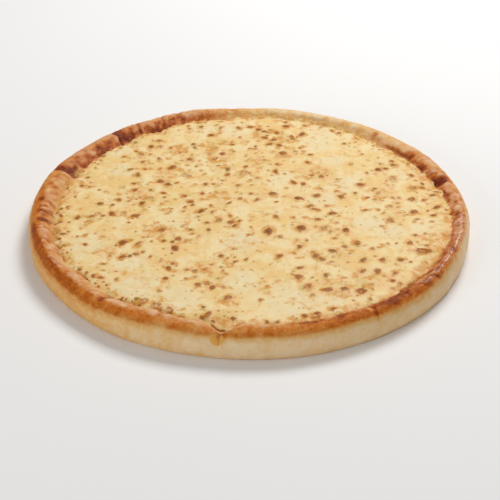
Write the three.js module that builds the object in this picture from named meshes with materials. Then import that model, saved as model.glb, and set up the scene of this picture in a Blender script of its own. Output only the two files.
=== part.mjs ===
// A round cheese pizza with a thick bready crust, standing on its flat base.
// Millimetres, +Z up. The origin is the middle of the base, where it rests.
// Azimuths are in degrees from +X towards +Y, and the front of the pizza faces -Y.

import * as THREE from 'three';

// Driving dimensions of the crust.
const PIZZA_RADIUS = 150; // to the widest line of the wall
const RIM_HEIGHT = 19.5; // crest of the rim above the base
const WIDEST_HEIGHT = 8; // widest line of the wall above the base
const BASE_INSET = 2.8; // the flat base ends this far inside the widest line
const CREST_INSET = 8.5; // so does the crest of the rim
const RECESS_INSET = 24; // and the foot of the rim's inner slope
const DOUGH_THICKNESS = 10.5; // bready floor under the cheese
const FOOT_FULLNESS = 3; // superellipse powers of the wall, below and above its widest line
const SHOULDER_FULLNESS = 2.3;

// Driving dimensions of the cheese.
const CHEESE_RADIUS = 133.3; // mean radius of the melted edge
const CHEESE_TOP = 15.6; // top of the layer above the base of the pizza
const EDGE_THICKNESS = 0.7; // the layer thins to this at its melted edge
const LAYER_GAP = 0.4; // clearance between the cheese and the dough

// How finely the round forms are divided.
const AZIMUTH_STEPS = 168;
const WALL_STEPS = 4;
const SHOULDER_STEPS = 5;
const SLOPE_STEPS = 6;
const CHEESE_RINGS = [126, 114, 98, 78, 54, 28];

// Slow waves of the baked form: [cycles round the pizza, azimuth of a peak, half height of the wave].
const OUTLINE_WAVES = [[2, -32, 1.5], [5, 14, 0.35], [9, 200, 0.25]];
const CREST_WAVES = [[2, 150, 0.45], [5, 118, 0.4], [8, 22, 0.35], [13, 300, 0.3]];
const EDGE_WAVES = [[1, -45, 2.0], [2, -43, 0.6], [3, -25, 1.4], [5, -19, 0.7]];

// Folds pressed into the inner side of the rim:
// [azimuth, half width in degrees, depth, how far inside the widest line the fold ends].
const RIM_FOLDS = [
  [11.3, 2.6, 2.4, 6.5],
  [123, 3.6, 1.8, 7],
  [134, 2.8, 2.8, 6],
  [160, 2.6, 2.4, 4],
  [187, 3.2, 1.2, 7],
  [231, 2.2, 0.9, 6],
  [263, 2.4, 2.6, 2],
  [301, 2.6, 1.0, 3],
  [322, 2.8, 1.4, 4],
];
const FOLD_FADE = 7; // a fold loses its depth over this distance before it ends

// Where the melted edge runs outwards over the rim, or is held back by a lump of crust:
// [azimuth, half width in degrees, how far outwards].
const EDGE_REACHES = [
  [121.5, 3.2, -5.5],
  [151, 4.5, -1.2],
  [210, 4.5, 2.2],
  [246, 5, -1.2],
  [263.3, 3.0, 6.5],
];

// Broad swells of the cheese: [x and y wave numbers per metre, phase, half height].
const CHEESE_SWELLS = [
  [38, 21, 0.4, 0.35],
  [-24, 47, 1.7, 0.3],
  [66, -52, 2.9, 0.22],
  [91, 74, 5.1, 0.16],
];

function smooth(low, high, value) {
  const share = THREE.MathUtils.clamp((value - low) / (high - low), 0, 1);
  return share * share * (3 - 2 * share);
}

function waveSum(waves, azimuth) {
  let sum = 0;
  for (const [cycles, peak, height] of waves) {
    sum += height * Math.cos(THREE.MathUtils.degToRad(cycles * (azimuth - peak)));
  }
  return sum;
}

// A bell-shaped share, 1 at the centre's azimuth and fading to 0 on both sides of it.
function bell(centre, halfWidth, azimuth) {
  const away = ((azimuth - centre + 540) % 360) - 180;
  return Math.exp(-((away / halfWidth) ** 2));
}

function edgeReach(azimuth) {
  let sum = 0;
  for (const [centre, halfWidth, reach] of EDGE_REACHES) {
    sum += reach * bell(centre, halfWidth, azimuth);
  }
  return sum;
}

function foldDepth(azimuth, radius) {
  let sum = 0;
  for (const [centre, halfWidth, depth, endInset] of RIM_FOLDS) {
    const end = PIZZA_RADIUS - endInset;
    sum += depth * bell(centre, halfWidth, azimuth) * (1 - smooth(end - FOLD_FADE, end, radius));
  }
  return sum;
}

function swellAt(x, y) {
  let sum = 0;
  for (const [alongX, alongY, phase, height] of CHEESE_SWELLS) {
    sum += height * Math.sin((alongX * x + alongY * y) / 1000 + phase);
  }
  return sum;
}

// Carries a point of the true round into the uneven form that baking gave it.
// Neighbouring solids share this one map, so they keep the clearance between them.
function bake(x, y, z) {
  const radius = Math.hypot(x, y);
  const azimuth = THREE.MathUtils.radToDeg(Math.atan2(y, x)) + 360;
  const onRim = smooth(PIZZA_RADIUS - RECESS_INSET - 8, CHEESE_RADIUS, radius);
  const nearEdge =
    smooth(0.75 * CHEESE_RADIUS, CHEESE_RADIUS, radius) *
    (1 - smooth(CHEESE_RADIUS + 2, PIZZA_RADIUS, radius));
  const atCrest = onRim * smooth(WIDEST_HEIGHT, RIM_HEIGHT, z);
  const onCheese = (1 - onRim) * smooth(DOUGH_THICKNESS, CHEESE_TOP, z);
  const outwards =
    onRim * waveSum(OUTLINE_WAVES, azimuth) +
    nearEdge * (waveSum(EDGE_WAVES, azimuth) + edgeReach(azimuth));
  const upwards =
    atCrest * (waveSum(CREST_WAVES, azimuth) - foldDepth(azimuth, radius)) + onCheese * swellAt(x, y);
  const stretch = radius > 0 ? (radius + outwards) / radius : 1;
  return [x * stretch, y * stretch, z + upwards];
}

// Turns a section, drawn from the axis outwards and back, into a baked round.
function bakedRound(section) {
  const geometry = new THREE.LatheGeometry(section, AZIMUTH_STEPS);
  geometry.rotateX(Math.PI / 2);
  const positions = geometry.getAttribute('position');
  for (let i = 0; i < positions.count; i += 1) {
    positions.setXYZ(i, ...bake(positions.getX(i), positions.getY(i), positions.getZ(i)));
  }
  geometry.computeVertexNormals();
  return geometry;
}

function quarterTurn(step, steps) {
  return ((step / steps) * Math.PI) / 2;
}

// Height of the rim's inner slope, from its crest down to the bready floor.
function slopeHeight(radius) {
  const fall = smooth(PIZZA_RADIUS - RECESS_INSET, PIZZA_RADIUS - CREST_INSET, radius);
  return DOUGH_THICKNESS + (RIM_HEIGHT - DOUGH_THICKNESS) * fall;
}

// Section of the crust: flat base, rounded foot, bulging wall, soft shoulder, crest, inner slope, floor.
function crustSection() {
  const section = [new THREE.Vector2(0, 0), new THREE.Vector2(PIZZA_RADIUS * 0.6, 0)];
  for (let i = 0; i <= WALL_STEPS; i += 1) {
    const turn = quarterTurn(i, WALL_STEPS);
    const inset = BASE_INSET * (1 - Math.sin(turn) ** (2 / FOOT_FULLNESS));
    const height = WIDEST_HEIGHT * (1 - Math.cos(turn) ** (2 / FOOT_FULLNESS));
    section.push(new THREE.Vector2(PIZZA_RADIUS - inset, height));
  }
  for (let i = 1; i <= SHOULDER_STEPS; i += 1) {
    const turn = quarterTurn(i, SHOULDER_STEPS);
    const inset = CREST_INSET * (1 - Math.cos(turn) ** (2 / SHOULDER_FULLNESS));
    const rise = (RIM_HEIGHT - WIDEST_HEIGHT) * Math.sin(turn) ** (2 / SHOULDER_FULLNESS);
    section.push(new THREE.Vector2(PIZZA_RADIUS - inset, WIDEST_HEIGHT + rise));
  }
  for (let i = 1; i <= SLOPE_STEPS; i += 1) {
    const inset = CREST_INSET + ((RECESS_INSET - CREST_INSET) * i) / SLOPE_STEPS;
    const radius = PIZZA_RADIUS - inset;
    section.push(new THREE.Vector2(radius, slopeHeight(radius)));
  }
  section.push(new THREE.Vector2(PIZZA_RADIUS * 0.5, DOUGH_THICKNESS));
  section.push(new THREE.Vector2(0, DOUGH_THICKNESS));
  return section;
}

// Section of the cheese: it lies on the floor, laps up the inner slope and thins to its melted edge.
function cheeseSection() {
  const bottom = DOUGH_THICKNESS + LAYER_GAP;
  const foot = PIZZA_RADIUS - RECESS_INSET - LAYER_GAP;
  const edgeBottom = slopeHeight(CHEESE_RADIUS) + 2 * LAYER_GAP;
  const halfway = (foot + CHEESE_RADIUS) / 2;
  const section = [
    new THREE.Vector2(0, bottom),
    new THREE.Vector2(foot, bottom),
    new THREE.Vector2(halfway, slopeHeight(halfway) + 2 * LAYER_GAP),
    new THREE.Vector2(CHEESE_RADIUS, edgeBottom),
    new THREE.Vector2(CHEESE_RADIUS - EDGE_THICKNESS / 2, edgeBottom + EDGE_THICKNESS),
  ];
  for (const radius of CHEESE_RINGS) {
    section.push(new THREE.Vector2(radius, CHEESE_TOP));
  }
  section.push(new THREE.Vector2(0, CHEESE_TOP));
  return section;
}

// Bread dough baked golden brown on its crest and left pale on its wall.
function makeCrust() {
  const bakedDough = new THREE.MeshStandardMaterial({ color: 0xc08a52, roughness: 0.62, metalness: 0 });
  const crust = new THREE.Mesh(bakedRound(crustSection()), bakedDough);
  crust.name = 'crust';
  return crust;
}

// Melted mozzarella-style cheese, ivory yellow with toasted spots.
function makeCheese() {
  const meltedCheese = new THREE.MeshStandardMaterial({ color: 0xead09a, roughness: 0.45, metalness: 0 });
  const cheese = new THREE.Mesh(bakedRound(cheeseSection()), meltedCheese);
  cheese.name = 'cheese';
  return cheese;
}

// The waves leave the outline a little off centre, so the group brings its box back over the origin.
function centreOverOrigin(group) {
  const middle = new THREE.Box3().setFromObject(group).getCenter(new THREE.Vector3());
  group.position.set(-middle.x, -middle.y, 0);
}

const pizza = new THREE.Group();
pizza.add(makeCrust(), makeCheese());
centreOverOrigin(pizza);

export default pizza;
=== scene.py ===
"""A whole round cheese pizza: a thick bready crust under a layer of melted, toasted cheese.

Inside the shape functions lengths are in millimetres and azimuths in degrees, counted from +X
towards +Y, and the front of the pizza faces -Y. A finished mesh is in metres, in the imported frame.
A place on the true round is what the shape functions start from, before baking makes it uneven.
"""

import functools
import math
import random
from collections import namedtuple

import bmesh
import bpy
from bpy.props import FloatProperty, FloatVectorProperty, IntProperty, PointerProperty
from mathutils import Matrix, Vector, kdtree, noise
from mathutils.bvhtree import BVHTree


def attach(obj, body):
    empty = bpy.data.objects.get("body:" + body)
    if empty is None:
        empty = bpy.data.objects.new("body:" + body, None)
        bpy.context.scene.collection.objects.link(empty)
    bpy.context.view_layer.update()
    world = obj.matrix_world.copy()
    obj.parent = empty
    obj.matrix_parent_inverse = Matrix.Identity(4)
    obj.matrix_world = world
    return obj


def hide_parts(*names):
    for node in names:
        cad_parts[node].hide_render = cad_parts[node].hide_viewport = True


bl_info = {
    "name": "Cheese Pizza",
    "version": (1, 0, 0),
    "blender": (4, 5, 0),
    "location": "View3D > Sidebar > Pizza",
    "description": "Builds a baked crust and its melted cheese around the packed frame",
    "category": "Add Mesh",
}

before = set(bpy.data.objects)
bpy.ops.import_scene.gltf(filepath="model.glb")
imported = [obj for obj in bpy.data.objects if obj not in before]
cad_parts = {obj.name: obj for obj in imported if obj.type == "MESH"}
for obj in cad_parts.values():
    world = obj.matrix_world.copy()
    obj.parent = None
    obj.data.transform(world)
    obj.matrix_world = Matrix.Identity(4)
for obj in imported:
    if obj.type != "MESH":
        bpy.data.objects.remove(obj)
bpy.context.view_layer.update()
MM = 0.001

# What the vertices of each piece carry for its material.
CRUST_MARKS = ("toast", "rosy", "gold", "oil")
CHEESE_MARKS = ("toast", "halo", "hue", "milky")

# --- The baked form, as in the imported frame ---

# Slow waves: cycles round the pizza, azimuth of a peak, half height.
Wave = namedtuple("Wave", "cycles peak height")
OUTLINE_WAVES = [Wave(2, -32, 1.5), Wave(5, 14, 0.35), Wave(9, 200, 0.25)]
CREST_WAVES = [Wave(2, 150, 0.45), Wave(5, 118, 0.4), Wave(8, 22, 0.35), Wave(13, 300, 0.3)]
EDGE_WAVES = [Wave(1, -45, 2.0), Wave(2, -43, 0.6), Wave(3, -25, 1.4), Wave(5, -19, 0.7)]

# Broad folds pressed into the rim's inner side, each ending a little inside the widest line.
Fold = namedtuple("Fold", "azimuth half_width depth end_inset")
RIM_FOLDS = [Fold(*row) for row in [
    (11.3, 2.6, 2.4, 6.5), (123, 3.6, 1.8, 7), (134, 2.8, 2.8, 6), (160, 2.6, 2.4, 4), (187, 3.2, 1.2, 7),
    (231, 2.2, 0.9, 6), (263, 2.4, 2.6, 2), (301, 2.6, 1.0, 3), (322, 2.8, 1.4, 4),
]]
FOLD_FADE = 7

# Where the melted edge runs outwards over the rim, or is held back by a lump of crust.
Reach = namedtuple("Reach", "azimuth half_width outwards")
EDGE_REACHES = [Reach(*row) for row in [
    (121.5, 3.2, -5.5), (151, 4.5, -1.2), (210, 4.5, 2.2), (246, 5, -1.2), (263.3, 3.0, 6.5),
]]

# The lacy edge of the finely made cheese wanders further by these amounts.
EDGE_TRIMS = [Reach(*row) for row in [
    (60, 14, 2.6), (82, 12, 2.4), (263.3, 2.5, -1.6), (272, 9, 0.2), (322, 12, -1.2), (350, 12, 0.7),
    (15, 12, 1.2),
]]

# Broad swells of the cheese: wave numbers per metre, phase, half height.
Swell = namedtuple("Swell", "along_x along_y phase height")
CHEESE_SWELLS = [Swell(*row) for row in [
    (38, 21, 0.4, 0.35), (-24, 47, 1.7, 0.3), (66, -52, 2.9, 0.22), (91, 74, 5.1, 0.16),
]]

# --- Fine forms and baking marks of the rim ---

# Creases: a fold of skin `width` degrees wide. A steep one runs in gently and ends in a step.
Crease = namedtuple("Crease", "azimuth width depth slant inner outer steep", defaults=[False])
CREASES = [Crease(*row) for row in [
    (3.5, 0.7, 0.5, 0.0, 135, 146), (11.3, 1.6, 1.4, 0.0, 132, 146), (17, 0.6, 0.4, 0.1, 134, 142),
    (27, 0.9, 0.7, 0.1, 134, 143), (44.5, 0.8, 0.5, 0.0, 134, 142), (76, 0.6, 0.3, 0.1, 134, 143),
    (95, 1.1, 0.5, -0.1, 133, 149), (112, 0.9, 0.6, 0.1, 136, 149), (117.5, 0.6, 0.7, 0.1, 131, 148),
    (126, 0.7, 0.8, 0.1, 131, 147), (129.5, 0.5, 0.5, 0.1, 131, 146),
    (135.6, 3.4, 1.6, 0.0, 130, 148, True), (143, 0.7, 0.4, 0.2, 131, 145), (148, 0.8, 0.4, 0.2, 130, 145),
    (161.4, 3.2, 1.5, 0.0, 130, 149, True), (169, 0.6, 0.3, 0.2, 133, 144),
    (177, 0.9, 0.7, 0.25, 132, 147), (184, 0.9, 0.8, 0.0, 131, 146), (188.6, 0.8, 1.0, 0.0, 132, 145),
    (196, 0.5, 0.3, 0.1, 134, 143), (203, 0.5, 0.3, 0.1, 135, 144), (211, 0.7, 0.5, 0.1, 136, 145),
    (221, 0.6, 0.4, -0.1, 134, 144), (231, 0.8, 1.0, -0.05, 132, 146), (239, 0.6, 0.4, 0.1, 134, 144),
    (247.5, 0.7, 0.5, 0.1, 134, 144), (263.2, 1.3, 1.2, 0.0, 136, 151), (284, 0.6, 0.5, 0.1, 135, 145),
    (292, 0.7, 0.6, 0.1, 135, 145), (300.6, 1.5, 1.1, 0.1, 136, 150, True),
    (312, 0.7, 0.6, -0.15, 135, 147), (318, 0.6, 0.7, -0.15, 135, 148),
    (322.4, 1.2, 1.1, -0.1, 136, 149, True), (327, 0.5, 0.4, 0.0, 138, 147),
    (334, 0.8, 0.9, 0.0, 137, 148), (339, 0.5, 0.4, 0.0, 138, 147), (345, 0.6, 0.6, 0.1, 137, 147),
    (351, 0.6, 0.5, 0.0, 136, 147),
]]

# Each curve is read between the azimuths given, with smooth runs between them.
RIM_CURVES = {
    # How brown the outer shoulder is baked, from 0, pale, to 1, dark red-brown.
    # The peaks at 134 and 160.5 are painted shade in the deep folds; the fall after 322 is partly painted
    # highlight.
    "shoulder": [
        (0, 0.32), (12, 0.4), (24, 0.32), (36, 0.22), (60, 0.1), (84, 0.12), (96, 0.22), (108, 0.26),
        (118, 0.29), (128, 0.35), (134, 0.6), (136.5, 0.36), (146, 0.36), (156, 0.38), (160.5, 0.6),
        (163, 0.38), (178, 0.48), (190, 0.54), (202, 0.65), (215, 0.63), (232, 0.53), (250, 0.46),
        (264, 0.44), (278, 0.49), (298, 0.58), (311, 0.6), (322, 0.52), (335, 0.4), (350, 0.34),
    ],
    # The same for the ridge and the slope inside it.
    # It has the same painted shade in the folds, and its fall from 315 to 345 is partly painted highlight.
    "ridge": [
        (0, 0.36), (10, 0.34), (20, 0.32), (30, 0.27), (38, 0.2), (48, 0.11), (56, 0.07), (66, 0.05),
        (80, 0.05), (88, 0.12), (96, 0.27), (110, 0.35), (118, 0.46), (128, 0.52), (134, 0.66),
        (136.5, 0.44), (146, 0.46), (156, 0.46), (160.5, 0.62), (162.5, 0.36), (178, 0.42), (186, 0.46),
        (196, 0.4), (210, 0.36), (225, 0.29), (240, 0.26), (258, 0.27), (272, 0.31), (285, 0.5),
        (300, 0.56), (315, 0.62), (330, 0.49), (345, 0.41),
    ],
    # Where the lumpy ridge gives way to the smooth browned shoulder: the radius on the true round.
    "boundary": [
        (0, 145), (20, 144.5), (40, 143), (90, 142.5), (105, 141.5), (156, 141.5), (165, 143), (180, 143),
        (200, 143.2), (208, 143.1), (225, 142.8), (240, 142.8), (256, 143.1), (270, 142.4), (285, 141.4),
        (300, 141), (311, 141.2), (322, 142.5), (330, 144.3), (345, 145.2),
    ],
    # How much colour the pale wall took, by azimuth: most at the left and left front.
    # The rise from 270 to 315 degrees darkens the right front as painted shade.
    "wall": [
        (0, 0.11), (60, 0.1), (120, 0.12), (180, 0.2), (208, 0.25), (225, 0.21), (240, 0.12), (258, 0.06),
        (270, 0.05), (285, 0.06), (300, 0.08), (315, 0.1), (330, 0.1),
    ],
    # How rosy and dry the ridge looks, against the golden tone of its well-oiled stretches.
    # The pink is partly the crust's own colour and partly a painted sheen where light grazes the crest.
    "rosy": [
        (0, 0.95), (20, 0.95), (32, 0.8), (45, 0.55), (60, 0.4), (85, 0.25), (97, 0.3), (112, 0.8),
        (156, 0.9), (165, 0.5), (185, 0.7), (200, 0.9), (250, 0.85), (270, 0.7), (296, 0.6), (312, 0.72),
        (325, 0.95), (350, 1.0),
    ],
    # How deeply fine radial wrinkles mark the ridge, in millimetres.
    "wrinkle": [
        (0, 0.75), (8, 0.6), (15, 0.35), (28, 0.3), (40, 0.16), (60, 0.12), (90, 0.16), (108, 0.4),
        (115, 0.85), (132, 0.85), (140, 0.7), (156, 0.6), (163, 0.3), (180, 0.45), (192, 0.45), (200, 0.3),
        (230, 0.3), (262, 0.25), (284, 0.45), (297, 0.45), (310, 0.5), (325, 0.5), (345, 0.8),
    ],
    # How strong the brown line is that fat fried into the dough along the cheese.
    "fried": [
        (0, 0.3), (12, 0.45), (30, 0.45), (42, 0.25), (60, 0.1), (88, 0.15), (105, 0.2), (120, 0.25),
        (135, 0.25), (150, 0.2), (161, 0.2), (166, 0.05), (180, 0.05), (195, 0.08), (210, 0.12),
        (230, 0.2), (250, 0.25), (262, 0.3), (275, 0.3), (290, 0.35), (310, 0.35), (325, 0.25), (345, 0.3),
    ],
    # How far below the crest the browning ends, in millimetres.
    "drop": [
        (0, 2.2), (40, 2.2), (90, 2.8), (165, 3.0), (190, 3.6), (205, 4.4), (220, 4.7), (238, 4.3),
        (255, 3.9), (270, 3.8), (284, 3.2), (300, 3.3), (318, 3.2), (330, 2.6), (345, 2.2),
    ],
}

# Stretches of the rim as start, end and fade at both ends. Those of the right side are counted
# from the azimuth RIGHT, because they run across azimuth 0.
RIGHT = 14
# The dry stretches show a pinker crest with a lighter outer side: partly the crust's colour, partly a
# painted sheen.
DRY_AND_SHEEN_BACK = (100, 158, 6)
DRY_AND_SHEEN_RIGHT = (-34, 26, 10)
GOLDEN_SLOPE = (35, 285, 12)
GOLDEN_BACK = (58, 102, 9)
OILED_FRONT = (320, 350, 5)

# Stains on the rim: place and half size in degrees and millimetres, extra browning, golden fat.
# The stains at 12.2, 133.8, 159.8, 177, 184, 188.6 and 231 degrees lie in folds and creases: painted
# shade.
Stain = namedtuple("Stain", "azimuth radius half_azimuth half_radius toast gold", defaults=[0])
# The one at 300 degrees, with less browning, is a painted highlight on the lit edge of the steep crease.
STAINS = [Stain(*row) for row in [
    (5, 135, 1.4, 2.5, 0.2), (12.2, 139, 1.9, 6.5, 0.32), (16, 136, 2, 3, 0.2), (21, 136, 3, 2.5, 0.22),
    (23.5, 147, 1.1, 2, 0.3), (28, 137.5, 2, 3.5, 0.25), (34, 135.5, 5, 2.2, 0.25), (45, 139, 1, 3, 0.3),
    (50, 138, 1.5, 2, 0.15, 0.5), (56, 139, 2, 2.5, 0.14, 0.2), (63.3, 138.5, 1.3, 3, 0.1, 0.9),
    (70, 139, 2, 2, 0.1, 0.3), (82, 137, 2.5, 4, 0.05, 0.3), (92, 138, 3, 3, 0.1, 0.3),
    (103, 137, 5, 3.5, 0.12, 0.1), (112, 146, 1.4, 4, 0.2), (121.5, 136, 2.6, 6, 0.18),
    (133.8, 139, 1.6, 7, 0.25), (145, 136, 3, 4, 0.12), (153, 138, 2, 4, 0.08), (159.8, 139, 1.4, 7, 0.2),
    (158, 133.5, 2.5, 2.5, 0, 0.8), (184, 139, 0.8, 6, 0.2), (188.6, 138, 0.8, 5, 0.28),
    (177, 140, 1, 6, 0.16), (192, 146, 2.5, 2, 0.2), (197, 145.5, 3, 2, 0.2), (216, 145, 4, 2.5, 0.12),
    (231, 138, 0.9, 6, 0.4), (236, 144, 1.6, 3, 0.12), (247, 137, 0.9, 2, 0.35), (257, 136, 1.4, 2.5, 0.3),
    (262.5, 143, 1.4, 5, 0.3, 0.4), (283, 138, 1.2, 3, 0.25), (292, 137, 1.2, 4, 0.3),
    (306, 142, 4, 4, 0.25), (300, 141, 0.7, 5, -0.25), (319, 143, 1, 5, 0.2), (324, 141, 1.1, 5, 0.25),
    (334, 141, 0.9, 3, 0.2), (353, 138, 1, 2.5, 0.2),
]]

# --- Marks of the cheese ---

# The most striking toasted spots: place, radius, how dark, and whether the middle fell in.
Spot = namedtuple("Spot", "x y radius toast hollow", defaults=[False])
LANDMARK_SPOTS = [Spot(*row) for row in [
    (13, -33, 3.5, 1.0), (35, -31, 3.6, 0.95), (39, 27, 3.0, 0.8), (2, 14, 1.9, 0.75),
    (-2, 43, 4.4, 0.6, True), (-55, 54, 3.8, 0.8), (-63, 34, 2.9, 0.9), (-48, -53, 3.1, 0.9),
    (-58, -31, 3.2, 0.7), (-77, -12, 2.8, 0.8), (-85, -9, 2.6, 0.6, True), (-79, 73, 3.4, 0.65, True),
    (26, 73, 3.4, 0.75), (30, 117, 2.8, 0.95), (2, 115, 2.4, 0.9), (-28, 102, 2.5, 0.8),
    (94, 47, 3.0, 1.0), (105, 59, 2.1, 0.85), (103, 34, 3.3, 0.6, True), (113, 6, 2.8, 0.9, True),
    (128, 11, 2.1, 1.0), (129, -5, 2.6, 1.0), (125, -15, 2.2, 0.95), (95, -21, 2.7, 0.75, True),
    (57, -13, 2.8, 0.8), (105, -49, 2.7, 0.75), (70, -49, 2.9, 0.85, True), (113, -60, 4.6, 0.85, True),
    (54, -58, 2.7, 0.75), (69, -103, 3.6, 0.85, True), (48, -101, 3.5, 0.75), (36, -97, 3.2, 0.7, True),
    (-13, -108, 2.9, 0.85, True), (-51, -75, 2.6, 0.75), (-52, -86, 2.1, 0.8), (-19, 73, 2.8, 0.75),
    (-40, 82, 2.2, 0.7), (-67, 94, 2.8, 0.6), (-73, 86, 2.4, 0.85), (-44, 43, 3.0, 0.65, True),
    (-15, 50, 2.6, 0.7), (20, 95, 2.7, 0.75), (34, 96, 2.3, 0.75), (91, 14, 2.4, 0.6, True),
    (73, -69, 2.6, 0.75), (33, -52, 2.6, 0.75), (32, -77, 2.3, 0.85), (85, -69, 2.4, 0.8),
    (-26, -92, 2.6, 0.6, True), (-28, -23, 2.0, 0.75), (-118, 28, 2.0, 0.8), (-116, 41, 2.0, 0.75),
    (-28, -127, 2.3, 0.8), (-93, 104, 2.0, 0.6), (-69, 12, 3.0, 0.5, True), (45, 40, 2.4, 0.6),
    (52, 38, 2.6, 0.65), (123, 22, 2.3, 0.8), (117, 38, 2.3, 0.75), (48, -85, 2.2, 0.7),
    (89, -92, 1.9, 0.95), (-17, 91, 2.4, 0.55, True), (-103, -10, 2.5, 0.6, True),
    (-64, -110, 3.2, 0.62, True), (-56, -115, 3.4, 0.6, True), (-48, -119, 3.0, 0.62, True),
    (33, -126, 1.9, 0.8), (40, -124, 2.2, 0.85), (50, -120, 2.4, 0.85), (-128, -11, 1.9, 0.75),
    (-127, -19, 2.1, 0.8), (-123, -35, 2.4, 0.75),
]]

# Patches where the cheese set pale and calm, and patches that browned as a golden, busy lace.
Patch = namedtuple("Patch", "x y radius")
PALE_PATCHES = [Patch(*row) for row in [
    (-12, 113, 15), (50, 92, 17), (58, 110, 12), (-100, 80, 13), (-107, -48, 14), (-68, -95, 15),
    (-45, -107, 15), (25, -112, 19), (-5, -92, 12), (80, -22, 13), (108, 38, 9), (96, -34, 11),
    (52, 8, 11), (24, 36, 11), (-5, -45, 14), (62, 62, 10), (-75, -68, 10), (70, 28, 12), (50, -112, 10),
    (-90, 50, 9), (-35, 113, 10), (118, -30, 9),
]]
GOLDEN_PATCHES = [Patch(*row) for row in [
    (50, 43, 14), (26, 75, 11), (27, 98, 10), (-52, 78, 10), (-76, 12, 13), (-60, -33, 10), (88, 101, 12),
    (55, -97, 15), (72, -90, 12), (-22, 70, 12), (6, 62, 10), (93, 14, 11), (100, -12, 9), (10, 104, 9),
    (-92, -58, 9), (-16, 52, 8), (-30, -74, 9), (60, -60, 9), (-60, 40, 10), (-20, 12, 9), (122, -48, 11),
    (-30, 85, 9), (60, 120, 8), (-115, 30, 8), (-16, -132, 11), (-56, -114, 10), (48, 124, 9),
]]


# --- Small helpers ---

def smooth(low, high, value):
    share = min(max((value - low) / (high - low), 0.0), 1.0)
    return share * share * (3 - 2 * share)


def window(start, end, fade, value):
    """1 between start and end, fading to 0 over `fade` outside them."""
    return smooth(start - fade, start, value) * (1 - smooth(end, end + fade, value))


def azimuth_of(x, y):
    return math.degrees(math.atan2(y, x)) % 360


def turned_from(centre, azimuth):
    """How far the azimuth lies past the centre, from -180 to 180 degrees."""
    return (azimuth - centre + 540) % 360 - 180


def bell(centre, half_width, azimuth):
    return math.exp(-((turned_from(centre, azimuth) / half_width) ** 2))


def wave_sum(waves, azimuth):
    return sum(w.height * math.cos(math.radians(w.cycles * (azimuth - w.peak))) for w in waves)


def curve_at(points, azimuth):
    """Reads a closed curve that is given at rising azimuths from 0, with smooth runs between them."""
    for (a, low), (b, high) in zip(points, points[1:] + [(360, points[0][1])]):
        if azimuth <= b:
            return low + (high - low) * smooth(a, b, azimuth)


def ripple(point, wavelength, pattern):
    """Soft noise between about -1 and 1, with bumps one wavelength apart. Each numbered pattern
    is read from another part of the same noise."""
    offset = Vector((13.7, 5.3, 9.1)) * pattern
    return noise.noise(Vector(point) / wavelength + offset)


def linear(hex_colour):
    """An sRGB hex colour as the linear RGBA that shaders take."""
    channels = [int(hex_colour[i:i + 2], 16) / 255 for i in (1, 3, 5)]
    return tuple(c / 12.92 if c <= 0.04045 else ((c + 0.055) / 1.055) ** 2.4 for c in channels) + (1.0,)


def colour_property(name, description, hex_colour):
    return FloatVectorProperty(name=name, description=description, subtype="COLOR", size=4,
                               min=0.0, max=1.0, default=linear(hex_colour))


def length_property(name, description, millimetres):
    return FloatProperty(name=name, description=description, default=millimetres * MM,
                         min=0.0, unit="LENGTH")


# --- Settings ---

class PizzaSizes(bpy.types.PropertyGroup):
    """Driving sizes of the form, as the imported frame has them."""

    radius: length_property("Radius", "From the middle to the widest line of the wall", 150)
    rim_height: length_property("Rim height", "Crest of the rim above the base", 19.5)
    widest_height: length_property("Widest height", "Widest line of the wall above the base", 8)
    base_inset: length_property("Base inset", "The flat base ends this far inside the widest line", 2.8)
    crest_inset: length_property("Crest inset", "The crest lies this far inside the widest line", 8.5)
    recess_inset: length_property("Recess inset", "The inner slope's foot lies this far inside it", 24)
    dough_thickness: length_property("Dough", "Thickness of the bready floor under the cheese", 10.5)
    cheese_radius: length_property("Cheese radius", "Mean radius of the melted edge", 133.3)
    cheese_top: length_property("Cheese top", "Top of the cheese above the base", 15.6)


class CrustSettings(bpy.types.PropertyGroup):
    """Relief and colours of the baked dough."""

    lump_height: length_property("Lumps", "Height of the rim's soft lumps", 0.85)
    crumb: colour_property("Pale dough", "Unbrowned wall", "#F0D6AD")
    straw: colour_property("Straw", "First colour of baking", "#EABB78")
    golden: colour_property("Golden", "Half-browned rim", "#DF9C52")
    amber: colour_property("Amber", "Deep orange stage before brown", "#D0761E")
    brown: colour_property("Brown", "Well-browned shoulder", "#AE540C")
    dark: colour_property("Dark brown", "Darkest baked dough", "#702A06")
    # The rosy tan below stands partly for a painted sheen on the crest.
    rosy: colour_property("Rosy tan", "Dry, pinkish ridge", "#E8B28C")
    russet: colour_property("Russet", "Dry ridge, well browned", "#BE6C3C")
    scorched: colour_property("Scorched", "Dry ridge, darkest", "#7A3217")
    fat: colour_property("Golden fat", "Melted fat soaked into the rim", "#E6B268")


class CheeseSettings(bpy.types.PropertyGroup):
    """Relief, spots and colours of the melted cheese."""

    spot_count: IntProperty(name="Spots", description="Toasted spots scattered over the cheese",
                            default=500, min=0, max=900)
    edge_spot_count: IntProperty(name="Edge spots", description="Toasted spots along the melted edge",
                                 default=170, min=0, max=400)
    spot_height: length_property("Spot height", "How far a toasted bubble stands up", 0.5)
    cream: colour_property("Cream", "Palest yellow of melted cheese", "#F9E2AC")
    butter: colour_property("Butter", "Warmer melted cheese", "#F5D08A")
    milk: colour_property("Milk", "Milky patches that kept their water", "#F4E3B8")
    peach: colour_property("Peach", "Cheese just beginning to toast", "#F0BF84")
    khaki: colour_property("Khaki", "Whey-wet cheese that toasted duller", "#E3C47C")
    gold: colour_property("Gold", "Fat that parted from the cheese and fried", "#DD9C3E")
    toast: colour_property("Toast", "Toasted spot", "#A85D12")
    olive: colour_property("Olive toast", "Duller toasted spot", "#946B24")
    char: colour_property("Char", "Darkest middle of a spot", "#5C2E06")


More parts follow.
